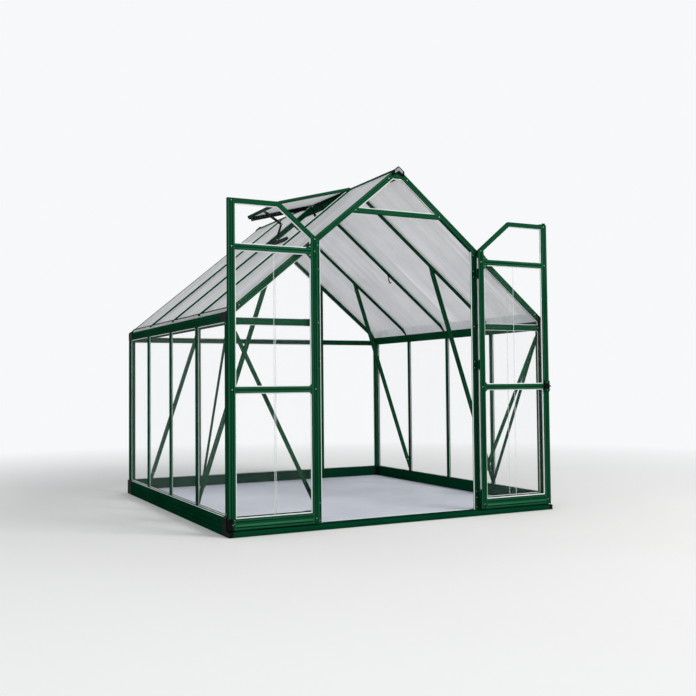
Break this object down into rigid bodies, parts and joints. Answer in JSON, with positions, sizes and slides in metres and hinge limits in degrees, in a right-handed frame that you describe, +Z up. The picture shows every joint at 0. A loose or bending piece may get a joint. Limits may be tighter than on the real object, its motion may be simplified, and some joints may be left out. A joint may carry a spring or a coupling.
{
  "type": "glass greenhouse",
  "caption": "Walk-in gable greenhouse with a green metal frame, clear wall panels, twin-wall roof, outward double doors and an open roof vent.",
  "frame": {"origin": "on the ground at the centre of the base's footprint", "axes": "+X to the right seen from the door side, the doors face -Y, +Z up"},
  "size_m": [2.44, 2.6044, 2.3646],
  "materials": {
    "frame_paint": "satin dark green powder coat",
    "base_paint": "satin dark green powder coat",
    "black_plastic": "moulded black plastic",
    "hinge_metal": "green painted hinge",
    "clear_sheet": "clear glazing sheet with bright edges",
    "roof_sheet": "translucent twin-wall sheet",
    "floor_slab": "smooth pale grey floor"
  },
  "bodies": {
    "frame": {"corner_posts": "frame_paint", "left_studs": "frame_paint", "right_studs": "frame_paint", "eave_rails": "frame_paint", "ridge_beam": "frame_paint", "front_rakes": "frame_paint", "rear_rakes": "frame_paint", "left_rafters": "frame_paint", "right_rafters": "frame_paint", "door_posts": "frame_paint", "door_header": "frame_paint", "front_transoms": "frame_paint", "rear_transoms": "frame_paint", "rear_mullions": "frame_paint", "vent_sill": "frame_paint", "vent_flap": "frame_paint", "tie_bars": "frame_paint", "side_braces": "frame_paint", "front_braces": "frame_paint", "front_kerb": "base_paint", "front_sills": "base_paint", "side_sills": "base_paint", "rear_sill": "base_paint", "corner_caps": "black_plastic", "eave_caps": "black_plastic", "ridge_caps": "black_plastic", "stay_foot": "black_plastic", "vent_stay": "black_plastic", "post_hinges": "hinge_metal", "left_wall_panels": "clear_sheet", "right_wall_panels": "clear_sheet", "front_panels": "clear_sheet", "gable_panel": "clear_sheet", "rear_panels": "clear_sheet", "left_roof_panels": "roof_sheet", "right_roof_panels": "roof_sheet", "vent_sheet": "roof_sheet", "floor": "floor_slab"},
    "left_leaf": {"left_stiles": "frame_paint", "left_rails": "frame_paint", "left_panels": "clear_sheet", "left_knuckles": "hinge_metal"},
    "right_leaf": {"right_stiles": "frame_paint", "right_rails": "frame_paint", "right_panels": "clear_sheet", "right_knuckles": "hinge_metal", "lock_case": "black_plastic"},
    "lever": {"lever": "black_plastic"}
  },
  "joints": [
    {"name": "left_leaf_hinge", "type": "hinge", "parent": "frame", "child": "left_leaf", "pos_m": [-0.61, -1.268, 0.042], "axis": [0, 0, 1], "range_deg": [0, 180]},
    {"name": "right_leaf_hinge", "type": "hinge", "parent": "frame", "child": "right_leaf", "pos_m": [0.61, -1.268, 0.042], "axis": [0, 0, -1], "range_deg": [0, 180]},
    {"name": "lever_turn", "type": "hinge", "parent": "right_leaf", "child": "lever", "pos_m": [1.174, -1.2914, 0.882], "axis": [0, 1, 0], "range_deg": [0, 35], "stiffness_Nm_per_rad": 1.5, "springref_deg": -11.46}
  ]
}
